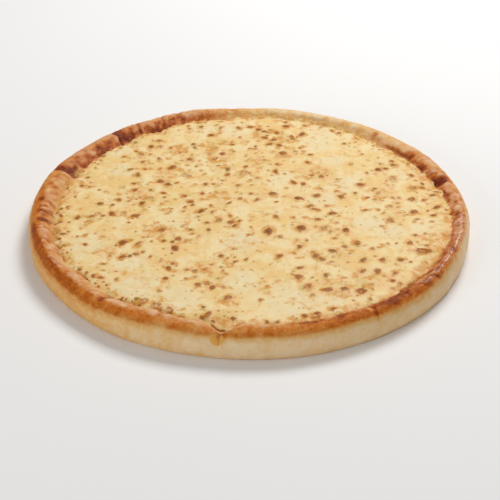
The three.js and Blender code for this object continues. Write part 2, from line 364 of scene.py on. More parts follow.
class StageSettings(bpy.types.PropertyGroup):
    """Floor and light."""

    key_power: FloatProperty(name="Key light", description="Power of the soft light behind the pizza",
                             default=15.2, min=0.0, unit="POWER")
    fill_power: FloatProperty(name="Fill light", description="Power of the weak light at the front left",
                              default=5.4, min=0.0, unit="POWER")
    sky_strength: FloatProperty(name="Sky", description="Strength of the even white surroundings",
                                default=0.33, min=0.0)
    floor: colour_property("Floor", "Plain pale floor", "#F7F8FB")


# --- The form ---

class PizzaForm:
    """Carries places on the true round into the uneven form that baking gave the pizza."""

    FOOT_FULLNESS = 3
    SHOULDER_FULLNESS = 2.3

    def __init__(self, sizes):
        for name in PizzaSizes.__annotations__:
            setattr(self, name, getattr(sizes, name) / MM)
        self.crest_radius = self.radius - self.crest_inset
        self.recess_radius = self.radius - self.recess_inset
        self.middle = Vector((0, 0, 0))
        self.middle = self.outline_middle()

    def outline_middle(self):
        """Middle of the uneven outline's box, which the frame has over its origin."""
        ring = [self.at(math.radians(step), self.radius, self.widest_height) for step in range(360)]
        xs = [p.x for p in ring]
        ys = [p.y for p in ring]
        return Vector(((min(xs) + max(xs)) / 2, (min(ys) + max(ys)) / 2, 0))

    def at(self, angle, radius, height):
        return self.bake(radius * math.cos(angle), radius * math.sin(angle), height)

    def fold_depth(self, azimuth, radius):
        depth = 0.0
        for fold in RIM_FOLDS:
            end = self.radius - fold.end_inset
            fade = 1 - smooth(end - FOLD_FADE, end, radius)
            depth += fold.depth * bell(fold.azimuth, fold.half_width, azimuth) * fade
        return depth

    def bake(self, x, y, z):
        radius = math.hypot(x, y)
        azimuth = azimuth_of(x, y)
        on_rim = smooth(self.recess_radius - 8, self.cheese_radius, radius)
        near_edge = (smooth(0.75 * self.cheese_radius, self.cheese_radius, radius)
                     * (1 - smooth(self.cheese_radius + 2, self.radius, radius)))
        at_crest = on_rim * smooth(self.widest_height, self.rim_height, z)
        on_cheese = (1 - on_rim) * smooth(self.dough_thickness, self.cheese_top, z)
        reach = sum(r.outwards * bell(r.azimuth, r.half_width, azimuth) for r in EDGE_REACHES)
        outwards = (on_rim * wave_sum(OUTLINE_WAVES, azimuth)
                    + near_edge * (wave_sum(EDGE_WAVES, azimuth) + reach))
        swell = sum(s.height * math.sin((s.along_x * x + s.along_y * y) * MM + s.phase)
                    for s in CHEESE_SWELLS)
        upwards = (at_crest * (wave_sum(CREST_WAVES, azimuth) - self.fold_depth(azimuth, radius))
                   + on_cheese * swell)
        stretch = (radius + outwards) / radius if radius > 0 else 1
        return Vector((x * stretch, y * stretch, z + upwards)) - self.middle

    def slope_height(self, radius):
        """Height of the rim's inner slope, from its crest down to the bready floor."""
        rise = smooth(self.recess_radius, self.crest_radius, radius)
        return self.dough_thickness + (self.rim_height - self.dough_thickness) * rise

    def foot_point(self, turn):
        """A point of the foot's section as radius and height; turn runs from 0, base, to 90, widest."""
        power = 2 / self.FOOT_FULLNESS
        inset = self.base_inset * (1 - math.sin(math.radians(turn)) ** power)
        return self.radius - inset, self.widest_height * (1 - math.cos(math.radians(turn)) ** power)

    def shoulder_point(self, turn):
        """The same for the shoulder: turn runs from 0, widest, to 90, crest."""
        power = 2 / self.SHOULDER_FULLNESS
        inset = self.crest_inset * (1 - math.cos(math.radians(turn)) ** power)
        rise = (self.rim_height - self.widest_height) * math.sin(math.radians(turn)) ** power
        return self.radius - inset, self.widest_height + rise


# --- The rim's skin ---

RimStation = namedtuple("RimStation", [*RIM_CURVES, "creases", "stains"])


@functools.lru_cache(maxsize=None)
def rim_station(azimuth):
    """Everything that the rim's skin takes from the azimuth alone."""
    return RimStation(
        *(curve_at(points, azimuth) for points in RIM_CURVES.values()),
        [c for c in CREASES if abs(turned_from(c.azimuth, azimuth)) < 4 * c.width + 4],
        [s for s in STAINS if abs(turned_from(s.azimuth, azimuth)) < 3 * s.half_azimuth + 1])


class RimSkin:
    """The fine relief and the baking marks of the crust, read at places on the true round."""

    BASE_TOP = 1.5
    WRINKLE_SPACING = 3.4
    WRINKLE_STRETCH = 4.5

    def __init__(self, form, look):
        self.form = form
        self.lump_height = look.lump_height / MM

    def crease_depth(self, station, azimuth, radius, wander):
        depth = 0.0
        for crease in station.creases:
            past = turned_from(crease.azimuth, azimuth) + crease.slant * (radius - crease.outer) + wander
            if crease.steep:
                run_in = math.exp(min(past, 0) / (0.45 * crease.width))
                across = run_in * (1 - smooth(0, 0.6, past))
            else:
                across = math.exp(-((past / crease.width) ** 2))
            depth += crease.depth * across * window(crease.inner + 2, crease.outer - 3, 3, radius)
        return depth

    def wrinkle_depth(self, station, place, radius):
        """Ridged noise drawn out along the radius: fine valleys where the dough shrank and puckered."""
        around = Vector((place.x, place.y, 0)).normalized() * self.form.crest_radius
        along = (radius + 0.3 * place.z) / self.WRINKLE_STRETCH
        spot = (around.x, around.y, along)
        valley = 1 - min(1.0, abs(ripple(spot, self.WRINKLE_SPACING, 1)) * 3.2)
        strength = 0.55 + 0.9 * ripple(spot, 3 * self.WRINKLE_SPACING, 2)
        return station.wrinkle * max(strength, 0.0) * valley * window(133, 144, 4, radius)

    def read(self, place):
        """Returns how far the skin moves out, then how toasted, pink (partly painted sheen), golden and
        oiled it is.
        """
        azimuth = azimuth_of(place.x, place.y)
        radius = math.hypot(place.x, place.y)
        if place.z < self.BASE_TOP:
            return self.read_base(place, radius)
        station = rim_station(round(azimuth, 3))
        upper = smooth(7, 15, place.z) * smooth(131.5, 135, radius)
        wander = 0.55 * ripple(place, 6, 3)
        creased = upper * self.crease_depth(station, azimuth, radius, wander)
        pressed = creased + upper * self.wrinkle_depth(station, place, radius)

        # The shoulder browns outside a wandering line, down to a soft end on the pale wall.
        line = station.boundary + 1.6 * ripple(place, 8, 4) + 1.3 * ripple(place, 3, 5)
        outside = smooth(line - 1.4, line + 1.2, radius)
        drop = self.form.rim_height - place.z
        end = station.drop + 0.9 * ripple(place, 17, 6) + 0.6 * ripple(place, 5, 7)
        band = 1 - smooth(end - 1.5, end + 0.7, drop)
        fade = 1 - smooth(end - 0.5, end + 4.2, drop)
        shoulder = (station.shoulder - station.wall) * (0.66 * band + 0.34 * fade)

        # Lumps of the ridge are painted paler on top and browner in the dips between them: painted
        # highlight and shade that follow the relief.
        # In the dry stretches the outer crest is lighter still, as a painted sheen.
        broad = ripple(place, 11, 13)
        narrow = ripple(place, 4.6, 14)
        grainy = ripple(place, 2.4, 15)
        on_right = turned_from(RIGHT, azimuth)
        dry_and_sheen = max(window(*DRY_AND_SHEEN_BACK, azimuth), 0.6 * window(*DRY_AND_SHEEN_RIGHT, on_right))
        lean = 0.3 * (1 - 1.9 * dry_and_sheen)
        ridge = station.ridge * (0.86 + 0.27 * dry_and_sheen + lean * smooth(137, 143.5, radius))
        ridge *= 1 - 0.4 * broad - 0.6 * narrow - 0.35 * grainy
        mottle = ripple(place, 9, 8) + ripple(place, 3.2, 9)
        toast = ridge * (1 - outside) + (station.wall + shoulder) * outside
        toast *= 1 + (0.3 - 0.2 * outside) * mottle
        # Darker towards the foot of the wall: painted shade near the floor, with a little pan browning.
        toast += outside * (0.05 * (1 - smooth(0.5, 5, place.z)) + 0.03 * mottle)
        # The creases and wrinkle valleys are browned by their depth: painted shade in the folds.
        toast += 0.14 * min(pressed, 1.3) + 0.22 * min(creased, 1.0)

        # Fat fries a broken line into the dough along the cheese, and soaks the slope above it.
        fried_radius = self.form.cheese_radius + 2.2 + 0.9 * ripple(place, 6, 10)
        fried = station.fried * math.exp(-(((radius - fried_radius) / 1.5) ** 2))
        toast += fried * max(0.0, 0.5 + 1.5 * ripple(place, 5, 11))
        back = window(*GOLDEN_BACK, azimuth)
        soaked = 1 - smooth(134.5 + 2 * back, 138.5 + 2 * back, radius + 2 * narrow)
        gold = (0.38 + 0.32 * back) * soaked * (1 - outside) * window(*GOLDEN_SLOPE, azimuth) * (1 - dry_and_sheen)
        for stain in station.stains:
            away = math.hypot(turned_from(stain.azimuth, azimuth) / stain.half_azimuth,
                              (radius - stain.radius) / stain.half_radius)
            share = upper * (1 - smooth(0.4, 1.35, away + 0.35 * ripple(place, 4, 12)))
            toast += stain.toast * share
            gold = max(gold, stain.gold * share)
        toast = min(max(toast, 0.0), 0.9)
        rosy = 0.45 + 0.55 * smooth(-0.35, 0.2, 0.6 * broad + narrow)
        rosy *= station.rosy * max(1 - outside, dry_and_sheen)
        oil = (1 - 0.6 * outside) * window(*OILED_FRONT, azimuth) * smooth(135.5, 138, radius)

        lumps = self.lump_height * (0.8 * broad + 0.65 * narrow)
        lumps *= (1 - 0.7 * outside) * (0.55 + 0.45 * smooth(133, 137, radius))
        grain = (0.42 - 0.28 * outside) * grainy + 0.1 * ripple(place, 1.3, 16)
        pad = 0.3 * (1 - outside) * smooth(136.5, 139, radius)
        wall = smooth(0.2, 2.5, place.z) * (1 - smooth(12, 17, place.z))
        swell = 0.5 * ripple(place, 21, 17) + 0.35 * ripple(place, 8, 33) + 0.14 * ripple(place, 3, 34)
        relief = upper * (lumps + grain + pad) - pressed + wall * swell
        return relief, toast, rosy, gold, oil

    def read_base(self, place, radius):
        """The underside, baked tan on the hot pan, palest where it lifts off towards the wall."""
        touching = 1 - smooth(0.1, 1.2, place.z)
        toast = 0.36 + 0.24 * ripple(place, 30, 18)
        toast *= touching * (1 - 0.5 * smooth(self.form.radius - 7, self.form.radius, radius))
        return 0.0, max(toast, 0.0), 0.0, 0.0, 0.0


# --- Making meshes ---

def spin_round(bm, profile, steps):
    """Spins a section, given as radius and height, round the Z axis."""
    verts = [bm.verts.new((radius, 0, height)) for radius, height in profile]
    edges = [bm.edges.new(pair) for pair in zip(verts, verts[1:])]
    bmesh.ops.spin(bm, geom=verts + edges, cent=(0, 0, 0), axis=(0, 0, 1), dvec=(0, 0, 0),
                   angle=2 * math.pi, steps=steps, use_merge=True, use_normal_flip=False,
                   use_duplicate=False)
    bmesh.ops.remove_doubles(bm, verts=bm.verts, dist=1e-4)


def add_object(name, data, matrix=None):
    """Links a new object to the scene, at the origin unless it gets a matrix."""
    new = bpy.data.objects.new(name, data)
    if matrix is not None:
        new.matrix_world = matrix
    bpy.context.scene.collection.objects.link(new)
    return new


def add_mesh(bm, name, material):
    mesh = bpy.data.meshes.new(name)
    bm.to_mesh(mesh)
    bm.free()
    mesh.materials.append(material)
    return add_object(name, mesh)


def settle_faces(bm):
    """Puts the faces in a fixed order, because bmesh spins and merges them in one of its own each run."""
    bm.verts.index_update()
    count = len(bm.verts)

    def rank(face):
        first, second, third = sorted(vert.index for vert in face.verts)[:3]
        return (first * count + second) * count + third

    bm.faces.sort(key=rank)


def finish_piece(bm, name, material):
    """Closes off a mesh made in millimetres: outward faces, metres, smooth shading, body and material."""
    if not bm.faces:
        raise RuntimeError(f"{name} came out without faces")
    bmesh.ops.recalc_face_normals(bm, faces=bm.faces)
    settle_faces(bm)
    bmesh.ops.scale(bm, vec=(MM, MM, MM), verts=bm.verts)
    for face in bm.faces:
        face.smooth = True
    piece = add_mesh(bm, name, material)
    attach(piece, "root")
    return piece


# --- Materials ---

RGBA = {"data_type": "RGBA"}
SMOOTHSTEP = {"interpolation_type": "SMOOTHSTEP"}
MULTIPLY = {"operation": "MULTIPLY"}
MULTIPLY_ADD = {"operation": "MULTIPLY_ADD"}
CLAMP = {"use_clamp": True}


def add_node(tree, kind, settings, *values, out=None, stops=(), **named):
    """Adds a node and returns its first live output, or the one called `out`. Values go to its live
    inputs in turn, and named ones by name with _ for a blank; a socket among them is linked."""
    node = tree.nodes.new("ShaderNode" + kind)
    for name, value in settings.items():
        setattr(node, name, value)
    inputs = list(zip([socket for socket in node.inputs if socket.enabled], values))
    inputs += [(node.inputs[name.replace("_", " ")], value) for name, value in named.items()]
    for socket, value in inputs:
        if isinstance(value, bpy.types.NodeSocket):
            tree.links.new(value, socket)
        else:
            socket.default_value = value
    for i, (place, colour) in enumerate(stops):
        element = node.color_ramp.elements[i] if i < 2 else node.color_ramp.elements.new(place)
        element.position = place
        element.color = colour
    return node.outputs[out] if out else next((o for o in node.outputs if o.enabled), None)


def new_material(name, marks=()):
    """Returns a material, the call that adds a node to it, its Object coordinates and the mesh's marks."""
    material = bpy.data.materials.new(name)
    material.use_nodes = True
    material.node_tree.nodes.clear()
    add = functools.partial(add_node, material.node_tree)
    return material, add, add("TexCoord", {}, out="Object"), [
        add("Attribute", {"attribute_name": mark}, out="Fac") for mark in marks]


def per(millimetres):
    """Noise scale on Object coordinates for features this many millimetres apart."""
    return 1 / (millimetres * MM)


def baked_dough(look):
    """Lean wheat dough, baked in a pan: a pale, soft, matte wall with fine pores, and a rim that
    the oven browned unevenly and that a little fat leaves with a low satin shine."""
    material, add, coords, marks = new_material("baked_dough", CRUST_MARKS)
    toast, rosy, gold, oil = marks

    # Browning goes in patches a few millimetres wide with a fine freckled edge. The pale wall
    # hardly varies, and the variation grows with the browning.
    patches = add("TexNoise", {}, coords, per(6), 4, 0.6, Distortion=0.4)
    freckles = add("TexNoise", {}, coords, per(1.5), 3, 0.65)
    unevenness = add("Math", MULTIPLY_ADD, patches, 0.5, -0.42)
    unevenness = add("Math", MULTIPLY_ADD, freckles, 0.34, unevenness)
    share = add("MapRange", {}, toast, 0, 0.35, 0.22, 1)
    level = add("Math", MULTIPLY_ADD | CLAMP, unevenness, share, toast)
    browned = add("ValToRGB", {}, level, stops=[
        (0.03, look.crumb), (0.17, look.straw), (0.36, look.golden), (0.54, look.amber),
        (0.72, look.brown), (1, look.dark)])

    # The dry ridge is pinker than the oiled shoulder, and fat leaves it golden in places.
    # Part of that pink is a painted sheen on the crest.
    flush = add("MapRange", {}, patches, 0.3, 0.7, 0.6, 1)
    flush = add("Math", MULTIPLY, flush, rosy)
    dry_and_sheen = add("ValToRGB", {}, level, stops=[
        (0.04, look.crumb), (0.28, look.rosy), (0.62, look.russet), (0.95, look.scorched)])
    flushed = add("Mix", RGBA, flush, browned, dry_and_sheen)
    soaked = add("Mix", RGBA, gold, flushed, look.fat)

    # Pores of the skin under a millimetre apart, and shallow puckers three millimetres apart.
    pores = add("TexNoise", {}, coords, per(0.8), 3, 0.6)
    puckers = add("TexNoise", {}, coords, per(3), 4, 0.6, Distortion=0.8)
    relief = add("Math", MULTIPLY_ADD, pores, 0.3, puckers)
    relief = add("Math", MULTIPLY, relief, share)
    bump = add("Bump", {}, 0.9, 0.8 * MM, Height=relief)

    satin = add("MapRange", {}, level, 0.1, 0.7, 0.8, 0.5)
    shader = add(
        "BsdfPrincipled", {}, soaked, Roughness=satin, Normal=bump, IOR=1.45,
        Specular_IOR_Level=0.2, Subsurface_Weight=0.06, Subsurface_Radius=(1.0, 0.55, 0.3),
        Subsurface_Scale=1.5 * MM, Coat_Weight=oil, Coat_Roughness=0.34)
    add("OutputMaterial", {}, shader)
    return material


def melted_cheese(look):
    """Grated stretched-curd cheese, melted by the oven's heat and set: milky, blotched where fat
    has parted from it, freckled with toasted bubbles, with the soft broken shine of thin fat."""
    material, add, coords, marks = new_material("melted_cheese", CHEESE_MARKS)
    toast, halo, hue, milky = marks

    # Ground colour: cream and butter in soft blotches a centimetre or two wide, with milky patches.
    blotches = add("TexNoise", {}, coords, per(15), 4, 0.6, Distortion=0.6)
    blotches = add("MapRange", SMOOTHSTEP, blotches, 0.38, 0.62)
    ground = add("Mix", RGBA, blotches, look.cream, look.butter)
    clouds = add("TexNoise", {}, coords, per(7), 4, 0.6, Distortion=0.5)
    clearing = add("MapRange", {}, clouds, 0.3, 0.65, 1.1, 0.3)
    milkiness = add("Math", MULTIPLY | CLAMP, milky, clearing)
    ground = add("Mix", RGBA, milkiness, ground, look.milk)

    # Peach and golden tones gather round the toasted bubbles, in thin stray veils and, as painted shade,
    # in the dips.
    veils = add("TexNoise", {}, coords, per(5), 3.5, 0.55, Distortion=0.5)
    stray = add("MapRange", SMOOTHSTEP, veils, 0.5, 0.72, 0, 0.45)
    uneven = add("MapRange", {}, veils, 0.34, 0.66, 0.3, 1.5)
    warmth = add("Math", MULTIPLY_ADD | CLAMP, halo, uneven, stray)
    peachy = add("MapRange", SMOOTHSTEP, warmth, 0.05, 0.6, 0, 0.85)
    golden = add("MapRange", SMOOTHSTEP, warmth, 0.45, 1, 0, 0.8)
    dull = add("MapRange", SMOOTHSTEP, clouds, 0.46, 0.58)
    tone = add("Mix", RGBA, dull, look.peach, look.khaki)
    warm = add("Mix", RGBA, peachy, ground, tone)
    warm = add("Mix", RGBA, golden, warm, look.gold)

    # Specks a millimetre across, too small to stand up, some in each square centimetre.
    distance = add("TexVoronoi", {}, coords, per(3.8))
    cell = distance.node.outputs["Color"]
    size = add("MapRange", {}, cell, 0.2, 1, 0, 0.26)
    speck = add("Math", {"operation": "SUBTRACT"}, size, distance)
    speck = add("MapRange", SMOOTHSTEP, speck, -0.08, 0.1, 0, 0.6)
    freckled = add("Mix", RGBA, speck, warm, look.olive)

    # Each bubble's toasted skin has a frayed edge finer than a millimetre.
    fray = add("TexNoise", {}, coords, per(1.7), 4, 0.65)
    frayed = add("Math", {"operation": "ADD"}, fray, toast)
    skin = add("MapRange", SMOOTHSTEP, frayed, 0.6, 1.15, 0, 0.92)
    core = add("MapRange", SMOOTHSTEP, frayed, 1.2, 1.7, 0, 0.8)
    tint = add("Mix", RGBA, hue, look.toast, look.olive)
    toasted = add("Mix", RGBA, skin, freckled, tint)
    charred = add("Mix", RGBA, core, toasted, look.char)

    # The set surface is finely dimpled, and the toasted skins are wrinkled.
    dimples = add("TexNoise", {}, coords, per(2.2), 4, 0.6)
    bump = add("Bump", {}, 0.5, 0.5 * MM, Height=dimples)
    sheen = add("MapRange", {}, veils, 0.3, 0.7, 0.58, 0.4)
    shader = add(
        "BsdfPrincipled", {}, charred, Roughness=sheen, Normal=bump, IOR=1.45,
        Specular_IOR_Level=0.28, Subsurface_Weight=0.1, Subsurface_Radius=(1.0, 0.6, 0.3),
        Subsurface_Scale=2.0 * MM)
    add("OutputMaterial", {}, shader)
    return material


def fried_cheese_fat(look):
    """Cheese fat that ran over the rim and fried there: a glossy golden film, darkest where thin."""
    material, add, coords, (run,) = new_material("fried_cheese_fat", ["run"])
    streaks = add("TexNoise", {}, coords, per(2.5), 4, 0.6, Distortion=0.6)
    run = add("Math", MULTIPLY_ADD, streaks, 0.8, run)
    colour = add("ValToRGB", {}, run, stops=[
        (0.55, look.brown), (0.8, linear("#CE8226")), (1, linear("#E6A84C"))])
    bump = add("Bump", {}, 0.5, 0.4 * MM, Height=streaks)
    shader = add("BsdfPrincipled", {}, colour, Roughness=0.35, Normal=bump, IOR=1.46)
    add("OutputMaterial", {}, shader)
    return material


def matt_floor(look):
    """Matt painted board, pale and even, with a barely visible cloudiness."""
    material, add, coords, _ = new_material("matt_floor")
    clouds = add("TexNoise", {}, coords, per(300))
    tint = add("Mix", RGBA, clouds, look.floor, linear("#FAFBFD"))
    shader = add("BsdfPrincipled", {}, tint, Roughness=0.9)
    add("OutputMaterial", {}, shader)
    return material


# --- Pieces ---

class PIZZA_OT_crust(bpy.types.Operator):
    """Bakes the dough: a floor under the cheese and a thick, uneven, browned rim."""

    bl_idname = "pizza.crust"
    bl_label = "Baked crust"

    SPIN_STEPS = 1440
    BASE_RING = 13.5
    SHOULDER_STEP = 3.2
    SLOPE_STEP = 0.6

    def profile(self, form):
        """Section from the middle of the base out, up the wall, over the crest and back in.
        Points lie close together where the rim is browned and wrinkled."""
        points = [(self.BASE_RING * i, 0.0) for i in range(11)]
        points += [form.foot_point(turn) for turn in range(0, 91, 15)]
        points += [form.shoulder_point(turn) for turn in (6, 13, 20)]
        points += [form.shoulder_point(26 + self.SHOULDER_STEP * i) for i in range(21)]
        slope = [form.crest_radius - self.SLOPE_STEP * i for i in range(1, 18)]
        slope += [form.recess_radius + 3, form.recess_radius]
        points += [(radius, form.slope_height(radius)) for radius in slope]
        return points + [(form.radius / 2, form.dough_thickness), (0, form.dough_thickness)]

    def execute(self, context):
        form = PizzaForm(context.scene.pizza_sizes)
        look = context.scene.pizza_crust
        skin = RimSkin(form, look)
        bm = bmesh.new()
        layers = [bm.verts.layers.float.new(name) for name in CRUST_MARKS]
        spin_round(bm, self.profile(form), self.SPIN_STEPS)
        reliefs = []
        for vert in bm.verts:
            relief, *marks = skin.read(vert.co)
            reliefs.append(relief)
            for layer, mark in zip(layers, marks):
                vert[layer] = mark
            vert.co = form.bake(*vert.co)
        bmesh.ops.recalc_face_normals(bm, faces=bm.faces)
        bm.normal_update()
        moved = [vert.co + vert.normal * relief for vert, relief in zip(bm.verts, reliefs)]
        for vert, co in zip(bm.verts, moved):
            vert.co = co
        crust = finish_piece(bm, "baked_crust", baked_dough(look))
        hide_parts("crust")
        return {"FINISHED"}


class PIZZA_OT_cheese(bpy.types.Operator):
    """Melts the cheese: an uneven layer with toasted bubbles that laps against the rim."""

    bl_idname = "pizza.cheese"
    bl_label = "Melted cheese"

    GRID = 300
    EDGE_CROWDING = 1.15
    EDGE_SPREAD = 0.6  # the melted edge lies this far outside its mean radius
    EDGE_SINK = 0.6
    FOOT_SINK = 0.9  # the edge's foot is this deep in the dough
    FLOOR_CLEARANCE = 0.15
    ROLL = 2.2
    ROLL_FULLNESS = 2.2
    SEED = 11
    # Stretches of the edge as start, end and fade at both ends, the last one across azimuth 0.
    SPOTTED_EDGE = (175, 255, 20)
    FRIED_LEFT = (165, 200, 15)
    FRIED_RIGHT = (-32, 32, 12)
    NOTCH = (263.3, 6)  # azimuth and half width
    SPOT_REACH = 2.9  # a spot's halo ends at this many of its radii

    def to_round(self, x, y):
        """Carries a square from -1 to 1 onto a round, with finer rows at its edge."""
        if x == 0 and y == 0:
            return 0.0, 0.0
        if abs(x) > abs(y):
            radius, turn = x, math.pi / 4 * y / x
        else:
            radius, turn = y, math.pi / 2 - math.pi / 4 * x / y
        crowded = math.copysign(1 - (1 - min(abs(radius), 1.0)) ** self.EDGE_CROWDING, radius)
        return crowded * math.cos(turn), crowded * math.sin(turn)

    def patch_share(self, patches, x, y):
        """How far a place lies inside the patches, with ragged outlines."""
        ragged = 0.3 * ripple((x, y, 0), 11, 20) + 0.15 * ripple((x, y, 0), 4, 21)
        share = 0.0
        for patch in patches:
            away = math.hypot(x - patch.x, y - patch.y) / patch.radius
            if away < 1.7:
                share = max(share, 1 - smooth(0.5, 1.25, away + ragged))
        return share

    def spots(self, form, look):
        """The landmark spots, then smaller ones strewn between them, then those along the edge."""
        chance = random.Random(self.SEED)
        spots = list(LANDMARK_SPOTS)
        while len(spots) < len(LANDMARK_SPOTS) + look.spot_count:
            radius = (form.cheese_radius - 4) * math.sqrt(chance.random())
            turn = chance.uniform(0, 2 * math.pi)
            x, y = radius * math.cos(turn), radius * math.sin(turn)
            crowding = 0.5 + 0.6 * ripple((x, y, 0), 22, 22)
            crowding += 0.5 * self.patch_share(GOLDEN_PATCHES, x, y)
            crowding *= 1 - 0.85 * self.patch_share(PALE_PATCHES, x, y)
            if chance.random() > crowding:
                continue
            size = 1.1 + 1.9 * chance.random() ** 2.5
            if any(math.hypot(x - s.x, y - s.y) < 0.9 * (size + s.radius) for s in spots):
                continue
            toast = min(0.95, 0.28 + 0.16 * size + chance.uniform(-0.25, 0.25))
            spots.append(Spot(x, y, size, toast, chance.random() < 0.12))
        for _ in range(look.edge_spot_count):
            turn = chance.uniform(0, 2 * math.pi)
            if chance.random() > 0.5 + 0.5 * window(*self.SPOTTED_EDGE, math.degrees(turn)):
                continue
            reach = chance.uniform(0.5, 5.5)
            ring = form.at(turn, form.cheese_radius - reach, form.cheese_top)
            size = chance.uniform(1.0, 2.1)
            spots.append(Spot(ring.x, ring.y, size, chance.uniform(0.25, 0.7), False))
        return spots

    def raise_bubbles(self, verts, layers, spots, height):
        """Works out the rise of each vertex over the spots, and writes how toasted it is."""
        tree = kdtree.KDTree(len(verts))
        for i, vert in enumerate(verts):
            tree.insert((vert.co.x, vert.co.y, 0), i)
        tree.balance()
        rise = [0.0] * len(verts)
        chance = random.Random(self.SEED)
        for spot in spots:
            turn = chance.uniform(0, math.pi)
            stretch = chance.uniform(1.0, 1.5)
            layer = chance.uniform(0, 100)
            hue = min(max(0.9 - 0.3 * spot.radius + chance.uniform(-0.5, 0.5), 0.0), 1.0)
            for co, i, _ in tree.find_range((spot.x, spot.y, 0), self.SPOT_REACH * spot.radius):
                along = (co.x - spot.x) * math.cos(turn) + (co.y - spot.y) * math.sin(turn)
                across = (co.y - spot.y) * math.cos(turn) - (co.x - spot.x) * math.sin(turn)
                away = math.hypot(along / math.sqrt(stretch), across * math.sqrt(stretch)) / spot.radius
                away += 0.35 * ripple((co.x, co.y, layer), 1.1 * spot.radius, 23)
                away += 0.22 * ripple((co.x, co.y, layer), 0.5 * spot.radius, 24)
                away = max(away, 0.0)
                dome = max(0.0, 1 - (away / 1.3) ** 2) ** 2
                toast = spot.toast * (1 - smooth(0.35, 1.3, away))
                if spot.hollow:
                    dome = math.exp(-(((away - 0.8) / 0.3) ** 2)) - 0.3 * math.exp(-((away / 0.5) ** 2))
                    toast *= 0.5 + 0.5 * smooth(0.2, 0.75, away)
                rise[i] += height * math.sqrt(spot.radius / 2) * dome
                vert = verts[i]
                if toast > vert[layers["toast"]]:
                    vert[layers["toast"]] = toast
                    vert[layers["hue"]] = hue
                halo = (0.3 + 0.5 * spot.toast) * (1 - smooth(0.8, 2.4, away))
                vert[layers["halo"]] = max(vert[layers["halo"]], halo)
        return rise

    def lay_surface(self, bm, form, layers):
        """Lays the grid over the pizza as a round with a ragged, rolled-over edge. Returns how far
        each vertex lies inside that edge."""
        bmesh.ops.create_grid(bm, x_segments=self.GRID, y_segments=self.GRID, size=1.0)
        insets = []
        for vert in bm.verts:
            x, y = self.to_round(vert.co.x, vert.co.y)
            azimuth = azimuth_of(x, y)
            share = math.hypot(x, y)
            across, up = (x / share, y / share) if share > 0 else (1.0, 0.0)
            ring = (across * form.cheese_radius, up * form.cheese_radius, 0)
            ragged = 1.4 * ripple(ring, 9, 25) + 1.3 * ripple(ring, 3.4, 26)
            ragged += sum(t.outwards * bell(t.azimuth, t.half_width, azimuth) for t in EDGE_TRIMS)
            mean_edge = form.cheese_radius + self.EDGE_SPREAD
            edge = mean_edge + ragged
            radius = share * mean_edge + ragged * smooth(0.9, 1.0, share)
            inset = edge - radius
            inwards = min(max(0.0, 1 - inset / self.ROLL), 1.0)
            roll = (1 - inwards ** self.ROLL_FULLNESS) ** (1 / self.ROLL_FULLNESS)
            foot = form.slope_height(edge) - self.FOOT_SINK
            thick = smooth(0, 5, inset)
            top = max(form.cheese_top - self.EDGE_SINK * (1 - thick),
                      form.slope_height(radius) + 0.25 + 0.3 * thick)
            vert.co = form.bake(across * radius, up * radius, foot + (top - foot) * roll)
            insets.append(inset)

            wide = max(window(*self.FRIED_LEFT, azimuth),
                       window(*self.FRIED_RIGHT, turned_from(0, azimuth)))
            fried = 1 - smooth(0, 7 + 7 * wide, inset)
            golden = self.patch_share(GOLDEN_PATCHES, vert.co.x, vert.co.y)
            pale = self.patch_share(PALE_PATCHES, vert.co.x, vert.co.y)
            vert[layers["halo"]] = max(0.55 * golden, fried * (0.7 + 0.6 * ripple(vert.co, 7, 27)))
            vert[layers["milky"]] = pale * (1 - fried)
            rim_line = 1 - smooth(0.3, 2.2, inset)
            notch = 0.6 * bell(*self.NOTCH, azimuth)
            vert[layers["toast"]] = max(0.0, rim_line * (0.05 + notch + 0.6 * ripple(vert.co, 5, 28)))
            vert[layers["hue"]] = 0.4
        return insets

    def close_underside(self, bm, form):
        """Runs the rim of the layer down the dough's inner slope and closes it over the floor."""
        height = form.dough_thickness + self.FLOOR_CLEARANCE
        boundary = [edge for edge in bm.edges if edge.is_boundary]
        for radius in (form.recess_radius - 1, 1):
            made = bmesh.ops.extrude_edge_only(bm, edges=boundary)["geom"]
            ring = [item for item in made if isinstance(item, bmesh.types.BMVert)]
            boundary = [item for item in made if isinstance(item, bmesh.types.BMEdge)
                        and item.is_boundary]
            for vert in ring:
                angle = math.atan2(vert.co.y + form.middle.y, vert.co.x + form.middle.x)
                vert.co = form.at(angle, radius, height)
        bmesh.ops.pointmerge(bm, verts=ring, merge_co=form.bake(0, 0, height))

    def execute(self, context):
        form = PizzaForm(context.scene.pizza_sizes)
        look = context.scene.pizza_cheese
        bm = bmesh.new()
        layers = {name: bm.verts.layers.float.new(name) for name in CHEESE_MARKS}
        insets = self.lay_surface(bm, form, layers)
        top = list(bm.verts)
        rise = self.raise_bubbles(top, layers, self.spots(form, look), look.spot_height / MM)
        for vert, bubble, inset in zip(top, rise, insets):
            broad = ripple(vert.co, 14, 29)
            narrow = ripple(vert.co, 5.5, 30)
            fine = ripple(vert.co, 2.6, 31)
            # The dips are painted warmer than the humps between them: painted shade that follows the
            # relief.
            dip_shade = smooth(0.1, 0.6, -0.5 * broad - narrow)
            vert[layers["halo"]] = min(1.0, vert[layers["halo"]] + 0.4 * dip_shade)
            lumps = 0.4 * broad + 0.42 * narrow + 0.14 * fine
            vert.co.z += smooth(0, 3, inset) * (bubble + lumps)
        self.close_underside(bm, form)
        cheese = finish_piece(bm, "melted_cheese", melted_cheese(look))
        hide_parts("cheese")
        return {"FINISHED"}


